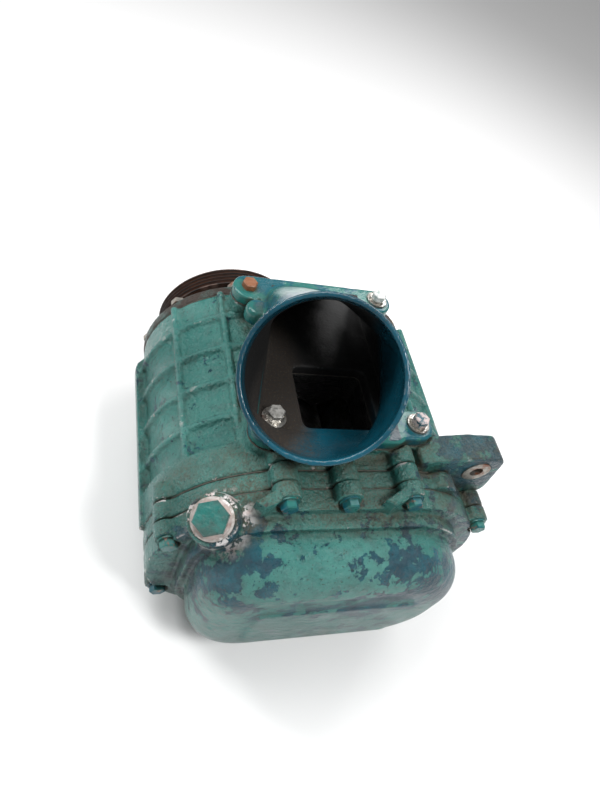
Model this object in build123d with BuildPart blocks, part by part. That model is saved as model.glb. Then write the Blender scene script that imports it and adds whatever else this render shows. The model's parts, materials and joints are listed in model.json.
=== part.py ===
"""Belt-driven twin-rotor supercharger (Roots blower) with an electromagnetic clutch pulley.

Millimetres, +Z up. The origin is the centre of the outlet flange's face, which the part stands on.
Both rotor shafts run along Y: the pulley is at the rear (+Y), the timing gears at the front (-Y).
Distances along Y are drawn from the inlet port's datum and moved to the origin as each piece is finished.
"""

import os
from math import atan, cos, pi, radians, sin, sqrt, tan

from build123d import *

os.makedirs("parts", exist_ok=True)

# ---- driving dimensions -------------------------------------------------------------------
axis_height = 84.0          # rotor axes above the outlet flange's face
foot_centre_y = 38.0        # the outlet flange's centre, which becomes the origin
shaft_spacing = 84.0        # between the two rotor axes
left = -shaft_spacing / 2   # the drive rotor, which carries the pulley
right = shaft_spacing / 2   # the driven rotor

pitch_radius = shaft_spacing / 2
rolling_radius = pitch_radius / 4          # a two-lobe cycloidal rotor
tip_radius = pitch_radius + 2 * rolling_radius
profile_clearance = 0.15
bore_radius = tip_radius + 0.15
wall_radius = 74.0          # outside of the casing's two barrels
band_radius = 79.0          # outside of its front band and of the end plate
hoop_radius = 77.5          # top of the ribs that run round the barrels
spine_radius = 79.0         # top of the ribs that run along the barrels

gasket = 0.5
casing_front = -41.4
casing_rear = 117.0
plate_rear = casing_front - gasket
plate_front = -55.0
cover_rear = plate_front - gasket
flange_front = -70.0
step_front = -80.0
cover_front = -115.0
drive_plate_front = casing_rear + gasket
drive_plate_rear = 126.0
end_gap = 0.4               # between a rotor's end face and the plate beside it
rotor_front = plate_rear + end_gap
rotor_rear = drive_plate_front - end_gap

ball_bearing_width = 15.0   # 25 x 52 x 15 shaft bearings
ball_bearing_radius = 26.0
journal_radius = 12.5
front_bearing = -57.5       # mid-plane of the bearings at the gear end
rear_bearing = 133.0        # mid-plane of the bearings at the drive end
seal_width = 7.0
rotor_shaft_radius = 16.0
gear_seat_radius = 11.0
shaft_hole_radius = 14.5

gear_teeth = 28
gear_module = shaft_spacing / gear_teeth
gear_rear = -68.0
gear_front = -88.0
washer_front = gear_front - 2.0
gear_nut_front = washer_front - 10.0

inlet_face = 86.0           # casing's machined inlet face, above the rotor axes
duct_floor = 95.0           # top of the duct's flange
inlet_bolt_x = 52.5
inlet_bolt_y = (-15.0, 103.0)
mouth_radius = 50.5
mouth_wall = 3.5
mouth_centre = (-38.0, -19.0, 144.0)
mouth_axis = (-0.45, -0.55, 0.70)
mouth_straight = 13.0       # plain length of the spigot that takes the hose

nose_radius = 20.0          # the drive end's nose, which carries the pulley's bearing
nose_rear = 159.0
coil_plate_front = 129.0
pulley_front = 143.3        # of its rim
pulley_rear = 159.5
pulley_radius = 60.0
friction_gap = 0.5          # between the pulley's face and the armature plate, clutch off
armature_front = pulley_rear + friction_gap
armature_rear = armature_front + 4.0

m6 = 3.0                    # thread radius of the perimeter bolts
top_bolts = [(-47, 83), (-6, 83), (39, 83)]
side_bolts = [(-111, 33), (-107, -46), (113, 44), (107, -46)]
low_bolts = [(-42, -71), (42, -71)]
lug_bolts = top_bolts + side_bolts
front_bolts_xz = lug_bolts + low_bolts
dowel_radius = 3.0
front_dowels = [(-108.7, -24.3), (108.7, -24.3)]
rear_dowels = [(-106.5, 23.5), (106.5, 23.5)]
drive_bolt_angles = (100, 140, 180, 220, 260)
drive_bolt_radius = 68.6


# ---- helpers ------------------------------------------------------------------------------
def cross(y):
    """A plane across the shafts, seen from the front: local x is +X, local y the height above the axes."""
    return Plane(origin=(0, y, axis_height), x_dir=(1, 0, 0), z_dir=(0, -1, 0))


def rear_cross(y, x=0):
    """The same plane seen from behind, so that an extrusion runs towards the rear."""
    return Plane(origin=(x, y, axis_height), x_dir=(-1, 0, 0), z_dir=(0, 1, 0))


def along(x):
    """A plane that holds the shaft axis at x: local x is +Y, local y is the distance above the axis."""
    return Plane(origin=(x, 0, axis_height), x_dir=(0, 1, 0), z_dir=(1, 0, 0))


def shaft_axis(x):
    """The rotor axis at x, towards the rear."""
    return Axis((x, 0, axis_height), (0, 1, 0))


def turned(x, profile):
    """A solid of revolution about the shaft axis at x, from (y, radius) points."""
    with BuildPart() as body:
        with BuildSketch(along(x)):
            with BuildLine():
                Polyline(*profile, close=True)
            make_face()
        revolve(axis=shaft_axis(x))
    return body.part


def ring(x, front, rear, inner, outer):
    """A plain ring about the shaft axis at x."""
    return turned(x, [(front, inner), (rear, inner), (rear, outer), (front, outer)])


def barrels(radius, front, rear):
    """The stadium that wraps both rotor bores, as a slab from front to rear."""
    with BuildPart() as slab:
        with BuildSketch(cross(rear)):
            SlotCenterToCenter(shaft_spacing, 2 * radius)
        extrude(amount=rear - front)
    return slab.part


def hex_screw(thread, flats, head, length, washer_radius=0.0, washer_height=0.0):
    """A hexagon screw along +Z: the underside of its head or flange is at the origin, its shank below."""
    with BuildPart() as screw:
        with BuildSketch(Plane.XY.offset(washer_height)):
            RegularPolygon(radius=flats / 2, side_count=6, major_radius=False)
        extrude(amount=head)
        chamfer(screw.faces().sort_by(Axis.Z)[-1].edges(), 0.7)
        if washer_radius:
            Cylinder(washer_radius, washer_height, align=(Align.CENTER, Align.CENTER, Align.MIN))
        Cylinder(thread, length, align=(Align.CENTER, Align.CENTER, Align.MAX))
        chamfer(screw.faces().sort_by(Axis.Z)[0].edges(), 0.6)
    return screw.part


def rounded_face(corners, radii, plane):
    """A straight-sided face on a plane, with its own radius at each corner."""
    with BuildSketch(plane) as outline:
        with BuildLine():
            Polyline(*corners, close=True)
        make_face()
        for corner, radius in zip(corners, radii):
            fillet(outline.vertices().sort_by_distance(Vector(*corner))[0], radius)
    return outline.sketch.face()


def finish_piece(builder, name):
    """Puts a finished piece where it stands about the origin, labels it and writes it."""
    placed = Pos(0, -foot_centre_y, 0) * builder.part
    placed.label = name
    export_step(placed, f"parts/{name}.step")


# ---- rotor casing -------------------------------------------------------------------------
hoop_width = 5.0
hoop_pitch = 29.7
first_hoop = 4.2
rib_front = -17.6
spine_width = 5.2
spine_angles = (20, 49)     # from vertical, outwards
ledge_x = 123.5
ledge_height = 9.0
ledge_rear = 97.0
foot_thickness = 11.0
foot_size = (150.0, 156.0)
foot_bolt_spacing = (126.0, 132.0)
foot_bolt_radius = 4.25     # tapped M10
foot_bolt_depth = 16.0
outlet_size = (56.0, 108.0)
port_x = (-32.0, 22.0)
port_y = (-20.0, 30.0)

with BuildPart() as hoop:
    add(barrels(hoop_radius, -hoop_width / 2, hoop_width / 2))
    fillet(hoop.faces().sort_by(Axis.Y)[0].edges() + hoop.faces().sort_by(Axis.Y)[-1].edges(), 1.6)

with BuildPart() as spine:
    spine_length = casing_rear - rib_front + 4
    spine_root = wall_radius - 6
    with BuildSketch(Plane((0, rib_front - 4, 0), x_dir=(1, 0, 0), z_dir=(0, 1, 0))):
        with Locations((0, -(spine_radius + spine_root) / 2)):
            Rectangle(spine_width, spine_radius - spine_root)
    extrude(amount=spine_length)
    fillet(spine.faces().sort_by(Axis.Z)[-1].edges().filter_by(Axis.Y), spine_width / 2 - 0.1)

inlet_lug_radius = 12.0
inlet_lugs = [(inlet_bolt_x, inlet_bolt_y[0]), (inlet_bolt_x, inlet_bolt_y[1]),
              (-inlet_bolt_x, inlet_bolt_y[1])]
ear_front = casing_front
ear_rear = -20.0
ear_hole = (102.0, 77.0)

with BuildSketch() as inlet_flange:
    add(rounded_face([(-71, -33), (43, -30), (40, 115), (-39, 115)], (13, 10, 10, 10), Plane.XY))
    for x, y in inlet_lugs:
        with Locations((x - (8 if x > 0 else -8), y)):
            SlotCenterToCenter(16, 2 * inlet_lug_radius)
inlet_flange_face = inlet_flange.sketch.face()

with BuildPart() as rotor_casing:
    add(barrels(wall_radius, casing_front, casing_rear))
    add(barrels(band_radius, casing_front, rib_front))
    for number in range(4):
        add(Pos(0, first_hoop + number * hoop_pitch, 0) * hoop.part)
    for side, x in ((1, left), (-1, right)):
        for angle in spine_angles:
            add(Pos(x, 0, axis_height) * Rot(0, -side * angle, 0) * spine.part)
    # the ledge along each side, round at its rear end
    for side in (-1, 1):
        with BuildSketch(Plane.XY.offset(axis_height - ledge_height)):
            with Locations((side * (ledge_x - 8), (casing_front + ledge_rear) / 2)):
                Rectangle(16, ledge_rear - casing_front)
            with Locations((side * (ledge_x - 12), ledge_rear - 2)):
                Circle(12)
        extrude(amount=ledge_height)
    # the inlet face: a tapering pad with a lug for each bolt outside it
    with BuildSketch(Plane.XY.offset(axis_height + 50)):
        add(inlet_flange_face)
    extrude(amount=inlet_face - 50)
    # side walls down to the outlet flange, and the flange itself
    with BuildSketch(Plane.XY.offset(foot_thickness - 1)):
        with Locations((0, foot_centre_y)):
            RectangleRounded(118, foot_size[1], 14)
    extrude(amount=40)
    with BuildSketch(Plane.XY):
        with Locations((0, foot_centre_y)):
            RectangleRounded(*foot_size, 16)
    extrude(amount=foot_thickness)
    # the mounting ear on the right shoulder
    with BuildSketch(cross(ear_rear)) as ear_outline:
        with BuildLine():
            Polyline((52, 60), (52, 88), (92, 94), (119, 93), (126, 46), (84, 40), close=True)
        make_face()
        fillet(ear_outline.vertices().group_by(Axis.X)[-1] + ear_outline.vertices().group_by(Axis.X)[-2], 9)
    extrude(amount=ear_rear - ear_front)
    # bolt lugs round the front face
    with BuildSketch(cross(casing_front + 13)):
        with Locations(*lug_bolts):
            Circle(9)
        for x, z in side_bolts:
            with Locations((x * 0.88, z * 0.9)):
                Rectangle(26, 16)
    extrude(amount=13)
    # nothing of the ear or the lugs stands in the duct's way above the inlet face
    with BuildSketch(Plane.XY.offset(axis_height + inlet_face)):
        add(inlet_flange_face)
        offset(amount=1.5)
    extrude(amount=20, mode=Mode.SUBTRACT)
    # rotor bores, inlet port, outlet port
    with BuildSketch(cross(casing_rear)):
        with Locations((left, 0), (right, 0)):
            Circle(bore_radius)
    extrude(amount=casing_rear - casing_front, mode=Mode.SUBTRACT)
    with BuildSketch(Plane.XY.offset(axis_height + inlet_face)):
        with Locations(((port_x[0] + port_x[1]) / 2, (port_y[0] + port_y[1]) / 2)):
            RectangleRounded(port_x[1] - port_x[0], port_y[1] - port_y[0], 5)
    extrude(amount=-inlet_face + 20, mode=Mode.SUBTRACT)
    with BuildSketch(Plane.XY):
        with Locations((0, foot_centre_y)):
            RectangleRounded(*outlet_size, 8)
    extrude(amount=axis_height - 20, mode=Mode.SUBTRACT)
    with Locations((0, foot_centre_y, 0)):
        with GridLocations(*foot_bolt_spacing, 2, 2):
            Cylinder(foot_bolt_radius, foot_bolt_depth, align=(Align.CENTER, Align.CENTER, Align.MIN),
                     mode=Mode.SUBTRACT)
    # tapped holes: front flange, drive end, inlet face, ear
    with BuildSketch(cross(casing_front + 11)):
        with Locations(*front_bolts_xz):
            Circle(m6)
    extrude(amount=11, mode=Mode.SUBTRACT)
    with BuildSketch(cross(casing_front + 8)):
        with Locations(*front_dowels):
            Circle(dowel_radius)
    extrude(amount=8, mode=Mode.SUBTRACT)
    with BuildSketch(cross(casing_rear)):
        with Locations(*rear_dowels):
            Circle(dowel_radius)
    extrude(amount=8, mode=Mode.SUBTRACT)
    with BuildSketch(cross(casing_rear)):
        for x, flip in ((left, 1), (right, -1)):
            for angle in drive_bolt_angles:
                with Locations((x + flip * drive_bolt_radius * cos(radians(angle)),
                                drive_bolt_radius * sin(radians(angle)))):
                    Circle(m6)
    extrude(amount=16, mode=Mode.SUBTRACT)
    with Locations((0, 0, axis_height + inlet_face)):
        with Locations(*[(s * inlet_bolt_x, y) for s in (-1, 1) for y in inlet_bolt_y]):
            Cylinder(m6, 30, mode=Mode.SUBTRACT)
    with BuildSketch(cross(ear_rear)):
        with Locations(ear_hole):
            Circle(8)
    extrude(amount=ear_rear - ear_front, mode=Mode.SUBTRACT)
finish_piece(rotor_casing, "rotor_casing")


# ---- gear end plate: closes the rotor chamber and holds the front bearings ------------------
bearing_pocket_front = front_bearing - ball_bearing_width / 2
bearing_pocket_rear = front_bearing + ball_bearing_width / 2 + seal_width
front_boss_radius = 33.0
stub_boss = (71.0, 67.0)

with BuildPart() as gear_end_plate:
    add(barrels(band_radius, plate_front, plate_rear))
    with BuildSketch(cross(plate_rear)):
        with Locations(*lug_bolts):
            Circle(9)
        for x, z in side_bolts:
            with Locations((x * 0.88, z * 0.9)):
                Rectangle(26, 16)
        with Locations(stub_boss):
            Circle(13)
    extrude(amount=plate_rear - plate_front)
    with BuildSketch(cross(plate_front)):
        with Locations((left, 0), (right, 0)):
            Circle(front_boss_radius)
    extrude(amount=plate_front - bearing_pocket_front)
    with BuildSketch(cross(bearing_pocket_rear)):
        with Locations((left, 0), (right, 0)):
            Circle(ball_bearing_radius)
    extrude(amount=bearing_pocket_rear - bearing_pocket_front, mode=Mode.SUBTRACT)
    with BuildSketch(cross(plate_rear)):
        with Locations((left, 0), (right, 0)):
            Circle(shaft_hole_radius)
    extrude(amount=plate_rear - bearing_pocket_rear, mode=Mode.SUBTRACT)
    with BuildSketch(cross(plate_rear)):
        with Locations(*front_bolts_xz):
            Circle(m6 + 0.3)
    extrude(amount=plate_rear - plate_front, mode=Mode.SUBTRACT)
    with BuildSketch(cross(plate_rear)):
        with Locations(*front_dowels):
            Circle(dowel_radius)
    extrude(amount=9, mode=Mode.SUBTRACT)
finish_piece(gear_end_plate, "gear_end_plate")

# ---- gear cover: an oil-filled bulge over the timing gears ----------------------------------
cover_left, cover_right, cover_bottom, cover_top = -94.0, 95.0, -58.0, 67.0
cover_corners = (40.0, 56.0, 52.0, 46.0)    # top left, top right, bottom right, bottom left
cover_wall = 5.0
cover_nose_radius = 24.0
lug_front = -66.0
plug_axis = Vector(-0.35, -0.35, 0.87).normalized()
plug_seat = Vector(-92.5, -73.0, axis_height + 76.0)
plug_boss_radius = 15.5
plug_thread = 9.0
panel_centre = (1.0, -5.0)
panel_width, panel_height, panel_raise = 112.0, 56.0, 1.2
spotface_radius = 7.6
drain_y = -92.0
drain_seat = axis_height + cover_bottom


def cover_outline(grow, y):
    """The bulge's outline at y, grown outwards, as a face."""
    x0, x1 = cover_left - grow, cover_right + grow
    z0, z1 = cover_bottom - grow, cover_top + grow
    corners = [(x0, z1), (x1, z1), (x1, z0), (x0, z0)]
    return rounded_face(corners, [radius + grow for radius in cover_corners], cross(y))


plug_seat_plane = Plane(origin=plug_seat, x_dir=(1, 0, 0.4023), z_dir=plug_axis)

with BuildPart() as cover_cavity:
    add(extrude(cover_outline(-cover_wall, cover_rear), amount=cover_rear - cover_front - cover_wall))
    fillet(cover_cavity.faces().sort_by(Axis.Y)[0].edges(), cover_nose_radius - cover_wall)

with BuildPart() as gear_cover:
    add(extrude(cover_outline(0, flange_front), amount=flange_front - cover_front))
    fillet(gear_cover.faces().sort_by(Axis.Y)[0].edges(), cover_nose_radius)
    add(extrude(cover_outline(6, flange_front), amount=flange_front - step_front))
    add(barrels(band_radius, flange_front, cover_rear))
    with BuildSketch(cross(cover_rear)):
        with Locations(*lug_bolts):
            Circle(9)
        for x, z in side_bolts:
            with Locations((x * 0.88, z * 0.9)):
                Rectangle(26, 16)
    extrude(amount=cover_rear - lug_front)
    # the slanting webs that brace two of the top lugs
    for x in (top_bolts[0][0], top_bolts[2][0]):
        with BuildSketch(Plane.XY.offset(axis_height + 70)):
            with BuildLine():
                Polyline((x - 22, lug_front - 2), (x, cover_rear), (x, lug_front), (x - 16, lug_front - 6),
                         close=True)
            make_face()
        extrude(amount=18)
    # filler boss
    with BuildSketch(plug_seat_plane):
        Circle(plug_boss_radius)
    extrude(amount=-34, taper=-6)
    # raised blank panel on the nose
    with BuildSketch(cross(cover_front + cover_nose_radius / 2)):
        with Locations(panel_centre):
            RectangleRounded(panel_width, panel_height, 5)
    extrude(amount=cover_nose_radius / 2 + panel_raise)
    add(cover_cavity.part, mode=Mode.SUBTRACT)
    with BuildSketch(plug_seat_plane):
        Circle(plug_thread)
    extrude(amount=-60, mode=Mode.SUBTRACT)
    with Locations((0, drain_y, drain_seat)):
        Cylinder(11, 12, align=(Align.CENTER, Align.CENTER, Align.MIN))
        Cylinder(6, 40, mode=Mode.SUBTRACT)
    with BuildSketch(cross(cover_rear)):
        with Locations(*front_bolts_xz):
            Circle(m6 + 0.3)
    extrude(amount=-step_front, mode=Mode.SUBTRACT)
    # spotfaces for the heads that sit on lugs, and the flat joint face
    with BuildSketch(cross(lug_front)):
        with Locations(*lug_bolts):
            Circle(spotface_radius)
    extrude(amount=20, mode=Mode.SUBTRACT)
    with Locations((0, cover_rear, axis_height)):
        Box(300, 40, 300, align=(Align.CENTER, Align.MIN, Align.CENTER), mode=Mode.SUBTRACT)
finish_piece(gear_cover, "gear_cover")

# ---- drive end plate: closes the rear, holds the rear bearings, carries the pulley ----------
rear_pocket_rear = rear_bearing + ball_bearing_width / 2
rear_boss_radius = 31.0
rear_boss_rear = 142.5
drive_boss_radius = 30.0    # slimmer on the drive side, inside the pulley's hub
drive_boss_rear = 143.2
coil_boss_radius = 52.0
coil_screw_radius = 48.0
nose_shoulder_radius = 24.0
nose_bore_radius = 13.0
circlip_thickness = 1.75
nose_groove_front = 155.6
nose_shoulder_rear = 143.5

with BuildPart() as drive_end_plate:
    add(barrels(wall_radius, drive_plate_front, drive_plate_rear))
    with BuildSketch(rear_cross(drive_plate_rear)):
        with Locations((-left, 0)):
            Circle(coil_boss_radius)
    extrude(amount=coil_plate_front - drive_plate_rear)
    with BuildSketch(rear_cross(drive_plate_rear)):
        with Locations((-left, 0)):
            Circle(drive_boss_radius)
    extrude(amount=drive_boss_rear - drive_plate_rear)
    with BuildSketch(rear_cross(drive_plate_rear)):
        with Locations((-right, 0)):
            Circle(rear_boss_radius)
    extrude(amount=rear_boss_rear - drive_plate_rear)
    # webs between the driven bearing's boss and the rim
    with BuildSketch(rear_cross(drive_plate_rear)):
        with Locations((-right, 0)):
            with PolarLocations((rear_boss_radius + wall_radius) / 2, 4, start_angle=120, angular_range=120,
                                endpoint=True):
                Rectangle(wall_radius - rear_boss_radius - 1, 5)
    extrude(amount=5)
    add(turned(left, [(drive_boss_rear - 1, nose_bore_radius), (nose_rear, nose_bore_radius),
                      (nose_rear, nose_radius), (nose_shoulder_rear, nose_radius),
                      (nose_shoulder_rear, nose_shoulder_radius),
                      (drive_boss_rear - 1, nose_shoulder_radius)]))
    add(ring(left, nose_groove_front, nose_groove_front + circlip_thickness + 0.1, nose_radius - 1.25,
             nose_radius + 1), mode=Mode.SUBTRACT)
    with BuildSketch(rear_cross(drive_plate_front)):
        with Locations((-left, 0), (-right, 0)):
            Circle(shaft_hole_radius)
    extrude(amount=rear_pocket_rear - drive_plate_front, mode=Mode.SUBTRACT)
    with BuildSketch(rear_cross(drive_plate_front + 1)):
        with Locations((-left, 0), (-right, 0)):
            Circle(ball_bearing_radius)
    extrude(amount=rear_pocket_rear - drive_plate_front - 1, mode=Mode.SUBTRACT)
    with BuildSketch(rear_cross(rear_pocket_rear - 1)):
        with Locations((-left, 0)):
            Circle(nose_bore_radius)
    extrude(amount=4, mode=Mode.SUBTRACT)
    with BuildSketch(rear_cross(drive_plate_front)):
        for x, flip in ((left, 1), (right, -1)):
            for angle in drive_bolt_angles:
                with Locations((-x - flip * drive_bolt_radius * cos(radians(angle)),
                                drive_bolt_radius * sin(radians(angle)))):
                    Circle(m6 + 0.3)
    extrude(amount=drive_plate_rear - drive_plate_front, mode=Mode.SUBTRACT)
    with BuildSketch(cross(drive_plate_front + 9)):
        with Locations(*rear_dowels):
            Circle(dowel_radius)
    extrude(amount=9, mode=Mode.SUBTRACT)
    with BuildSketch(rear_cross(coil_plate_front - 9)):
        with Locations((-left, 0)):
            with PolarLocations(coil_screw_radius, 4, start_angle=45):
                Circle(2.5)
    extrude(amount=9, mode=Mode.SUBTRACT)
finish_piece(drive_end_plate, "drive_end_plate")

# ---- inlet duct: a cast elbow from the four-bolt flange up to the round hose spigot ---------
mouth = Plane(origin=(mouth_centre[0], mouth_centre[1], mouth_centre[2] + axis_height), x_dir=(1, 0, 0.6429),
              z_dir=mouth_axis)
spigot_base = mouth.offset(-mouth_straight)
duct_corners = (12.0, 22.0, 22.0, 22.0)
duct_wall = 5.0
duct_foot = [(-68, -30), (41, -27), (37, 112), (-37, 112)]
inlet_washer_radius = 8.0
# the four inlet bolts, and how far each one's seat stands above the duct's flange
inlet_seats = [(-inlet_bolt_x, inlet_bolt_y[0], 1.5), (inlet_bolt_x, inlet_bolt_y[0], 0.0),
               (inlet_bolt_x, inlet_bolt_y[1], 0.0), (-inlet_bolt_x, inlet_bolt_y[1], 0.0)]
washered_seats = inlet_seats[:3]    # the rear left bolt has no washers


def duct_section(shrink, height):
    """The duct's foot at a height above the rotor axes, drawn in from its outside by shrink."""
    (x0, y0), (x1, y1), (x2, y2), (x3, y3) = duct_foot
    corners = [(x0 + shrink, y0 + shrink), (x1 - shrink, y1 + shrink), (x2 - shrink, y2 - shrink),
               (x3 + shrink, y3 - shrink)]
    radii = [radius - shrink for radius in duct_corners]
    return rounded_face(corners, radii, Plane.XY.offset(axis_height + height))


def mouth_section(radius):
    """A circle but for four very short flats."""
    corners = [(-radius, -radius), (radius, -radius), (radius, radius), (-radius, radius)]
    return rounded_face(corners, 4 * [radius - 0.2], spigot_base)


with BuildPart() as duct_passage:
    add(loft([duct_section(duct_wall, duct_floor), mouth_section(mouth_radius - mouth_wall)]))
    add(extrude(mouth_section(mouth_radius - mouth_wall), amount=mouth_straight + 1))

nub_place = (-49.0, 80.0)
with BuildPart() as nub:
    Cylinder(9, 12, align=(Align.CENTER, Align.CENTER, Align.MIN))
    fillet(nub.faces().sort_by(Axis.Z)[-1].edges(), 4)

with BuildPart() as inlet_duct:
    add(loft([duct_section(0, duct_floor - 3), mouth_section(mouth_radius - 0.3)]))
    # the plain round end that takes the hose
    with BuildSketch(mouth):
        Circle(mouth_radius)
    extrude(amount=-mouth_straight)
    with BuildSketch(Plane.XY.offset(axis_height + inlet_face + gasket)):
        add(inlet_flange_face)
    extrude(amount=duct_floor - inlet_face - gasket)
    # the round nub beside the rear left bolt
    add(Pos(*nub_place, axis_height + inlet_face + gasket) * nub.part)
    add(duct_passage.part, mode=Mode.SUBTRACT)
    with BuildSketch(Plane.XY.offset(axis_height + inlet_face - 1)):
        with Locations(((port_x[0] + port_x[1]) / 2, (port_y[0] + port_y[1]) / 2)):
            RectangleRounded(port_x[1] - port_x[0], port_y[1] - port_y[0], 5)
    extrude(amount=duct_floor - inlet_face + 5, mode=Mode.SUBTRACT)
    # round seat under the front left bolt, which stands inside the duct
    with Locations((-inlet_bolt_x, inlet_bolt_y[0], axis_height + duct_floor - 3)):
        Cylinder(9.5, 4.5, align=(Align.CENTER, Align.CENTER, Align.MIN))
    for x, y, rise in inlet_seats:
        with Locations((x, y, axis_height + duct_floor)):
            Cylinder(m6 + 0.4, 40, mode=Mode.SUBTRACT)
        with Locations((x, y, axis_height + duct_floor + rise)):
            Cylinder(inlet_washer_radius + 0.6, 9, align=(Align.CENTER, Align.CENTER, Align.MIN),
                     mode=Mode.SUBTRACT)
finish_piece(inlet_duct, "inlet_duct")

# ---- gaskets ------------------------------------------------------------------------------
with BuildPart() as gear_end_gasket:
    add(barrels(band_radius - 1, plate_rear, casing_front))
    with BuildSketch(cross(casing_front)):
        with Locations((left, 0), (right, 0)):
            Circle(bore_radius + 0.3)
        with Locations(*front_bolts_xz, *front_dowels):
            Circle(m6 + 0.3)
    extrude(amount=gasket, mode=Mode.SUBTRACT)
finish_piece(gear_end_gasket, "gear_end_gasket")

with BuildPart() as gear_cover_gasket:
    add(barrels(band_radius - 1, cover_rear, plate_front))
    add(extrude(cover_outline(-cover_wall, plate_front), amount=gasket), mode=Mode.SUBTRACT)
    with BuildSketch(cross(plate_front)):
        with Locations(*front_bolts_xz):
            Circle(m6 + 0.3)
    extrude(amount=gasket, mode=Mode.SUBTRACT)
finish_piece(gear_cover_gasket, "gear_cover_gasket")

with BuildPart() as drive_end_gasket:
    add(barrels(wall_radius - 0.5, casing_rear, drive_plate_front))
    with BuildSketch(rear_cross(casing_rear)):
        with Locations((left, 0), (right, 0)):
            Circle(bore_radius + 0.3)
        for x, flip in ((left, 1), (right, -1)):
            for angle in drive_bolt_angles:
                with Locations((-x - flip * drive_bolt_radius * cos(radians(angle)),
                                drive_bolt_radius * sin(radians(angle)))):
                    Circle(m6 + 0.3)
        with Locations(*rear_dowels):
            Circle(dowel_radius + 0.3)
    extrude(amount=gasket, mode=Mode.SUBTRACT)
finish_piece(drive_end_gasket, "drive_end_gasket")

with BuildPart() as inlet_gasket:
    with BuildSketch(Plane.XY.offset(axis_height + inlet_face)):
        add(inlet_flange_face)
        with Locations(((port_x[0] + port_x[1]) / 2, (port_y[0] + port_y[1]) / 2)):
            RectangleRounded(port_x[1] - port_x[0] + 0.6, port_y[1] - port_y[0] + 0.6, 5, mode=Mode.SUBTRACT)
        with Locations(*[(s * inlet_bolt_x, y) for s in (-1, 1) for y in inlet_bolt_y]):
            Circle(m6 + 0.3, mode=Mode.SUBTRACT)
    extrude(amount=gasket)
finish_piece(inlet_gasket, "inlet_gasket")

# ---- rotors: two-lobe cycloidal, the driven one a quarter turn out of step -------------------
core_hole_radius = 11.0
core_hole_place = 38.0
rest_angle = 38.0           # of the drive rotor's lobes, from +X


def cycloid_point(angle, outer):
    """A point of the epicycloid (outer) or hypocycloid flank, moved inwards by the running clearance."""
    sign = 1 if outer else -1
    centre = pitch_radius + sign * rolling_radius
    turn = centre / rolling_radius * angle
    point = Vector(centre * cos(angle) - sign * rolling_radius * cos(turn),
                   centre * sin(angle) - rolling_radius * sin(turn))
    contact = Vector(pitch_radius * cos(angle), pitch_radius * sin(angle))
    away = point - contact
    if away.length < 1e-6:
        away = Vector(-sin(angle), cos(angle)) * (sign if angle < pi / 4 else -sign)
    return point - away.normalized() * (sign * profile_clearance)


def rotor_solid(x, angle):
    """One rotor: two epicycloid lobes and two hypocycloid hollows, cored, with its shaft bore."""
    quarter = pi / 2
    steps = 14
    lobe_line = (cos(radians(angle)), 0, sin(radians(angle)))
    with BuildPart() as rotor:
        with BuildSketch(Plane(origin=(x, rotor_rear, axis_height), x_dir=lobe_line, z_dir=(0, -1, 0))):
            with BuildLine():
                ends = []
                for number in range(4):
                    start = Rot(0, 0, 90 * number - 45)
                    outer = number % 2 == 0
                    points = [cycloid_point(quarter * step / steps, outer) for step in range(1, steps)]
                    ends.append([(start * Pos(*point)).position for point in points])
                for number in range(4):
                    before, after = ends[number - 1][-1], ends[number][0]
                    Spline(*ends[number])
                    Line(before, after)
            make_face()
            with Locations((core_hole_place, 0), (-core_hole_place, 0)):
                Circle(core_hole_radius, mode=Mode.SUBTRACT)
            Circle(rotor_shaft_radius, mode=Mode.SUBTRACT)
        extrude(amount=rotor_rear - rotor_front)
    return rotor


drive_rotor = rotor_solid(left, rest_angle)
finish_piece(drive_rotor, "drive_rotor")
driven_rotor = rotor_solid(right, 90 - rest_angle)
finish_piece(driven_rotor, "driven_rotor")

# ---- shafts -------------------------------------------------------------------------------
hub_seat_radius = 8.5
hub_seat_rear = 173.5
shaft_end = 182.0
hub_thread_radius = 6.0
gear_thread_radius = 8.0
key_width, key_height, key_depth = 6.0, 5.8, 3.5
gear_key_front, gear_key_rear = gear_front + 2, gear_rear - 2
hub_key_width, hub_key_height, hub_key_depth = 5.0, 5.0, 3.0
hub_key_front, hub_key_rear = nose_rear + 3, hub_seat_rear - 2
journal_front = bearing_pocket_front
journal_rear = rear_pocket_rear

drive_shaft_profile = [
    (gear_nut_front - 2, 0), (gear_nut_front - 2, gear_thread_radius), (gear_front, gear_thread_radius),
    (gear_front, gear_seat_radius), (journal_front, gear_seat_radius), (journal_front, journal_radius),
    (rotor_front, journal_radius), (rotor_front, rotor_shaft_radius), (rotor_rear, rotor_shaft_radius),
    (rotor_rear, journal_radius), (journal_rear, journal_radius)]
driven_end = [(journal_rear, 0)]
hub_sleeve_front, hub_sleeve_rear = nose_rear + 1.0, hub_seat_rear
drive_end = [(journal_rear, gear_seat_radius), (hub_sleeve_front, gear_seat_radius),
             (hub_sleeve_front, hub_seat_radius), (hub_seat_rear, hub_seat_radius),
             (hub_seat_rear, hub_thread_radius), (shaft_end, hub_thread_radius), (shaft_end, 0)]


def keyway(x, front, rear, radius, width, depth):
    """The box cut on top of a shaft for a key."""
    with BuildPart() as slot:
        with Locations((x, (front + rear) / 2, axis_height + radius - depth)):
            Box(width, rear - front, 2 * depth, align=(Align.CENTER, Align.CENTER, Align.MIN))
    return slot.part


with BuildPart() as drive_shaft:
    add(turned(left, drive_shaft_profile + drive_end))
    add(keyway(left, gear_key_front, gear_key_rear, gear_seat_radius, key_width, key_depth),
        mode=Mode.SUBTRACT)
    add(keyway(left, hub_key_front, hub_key_rear, hub_seat_radius, hub_key_width, hub_key_depth),
        mode=Mode.SUBTRACT)
finish_piece(drive_shaft, "drive_shaft")

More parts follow.
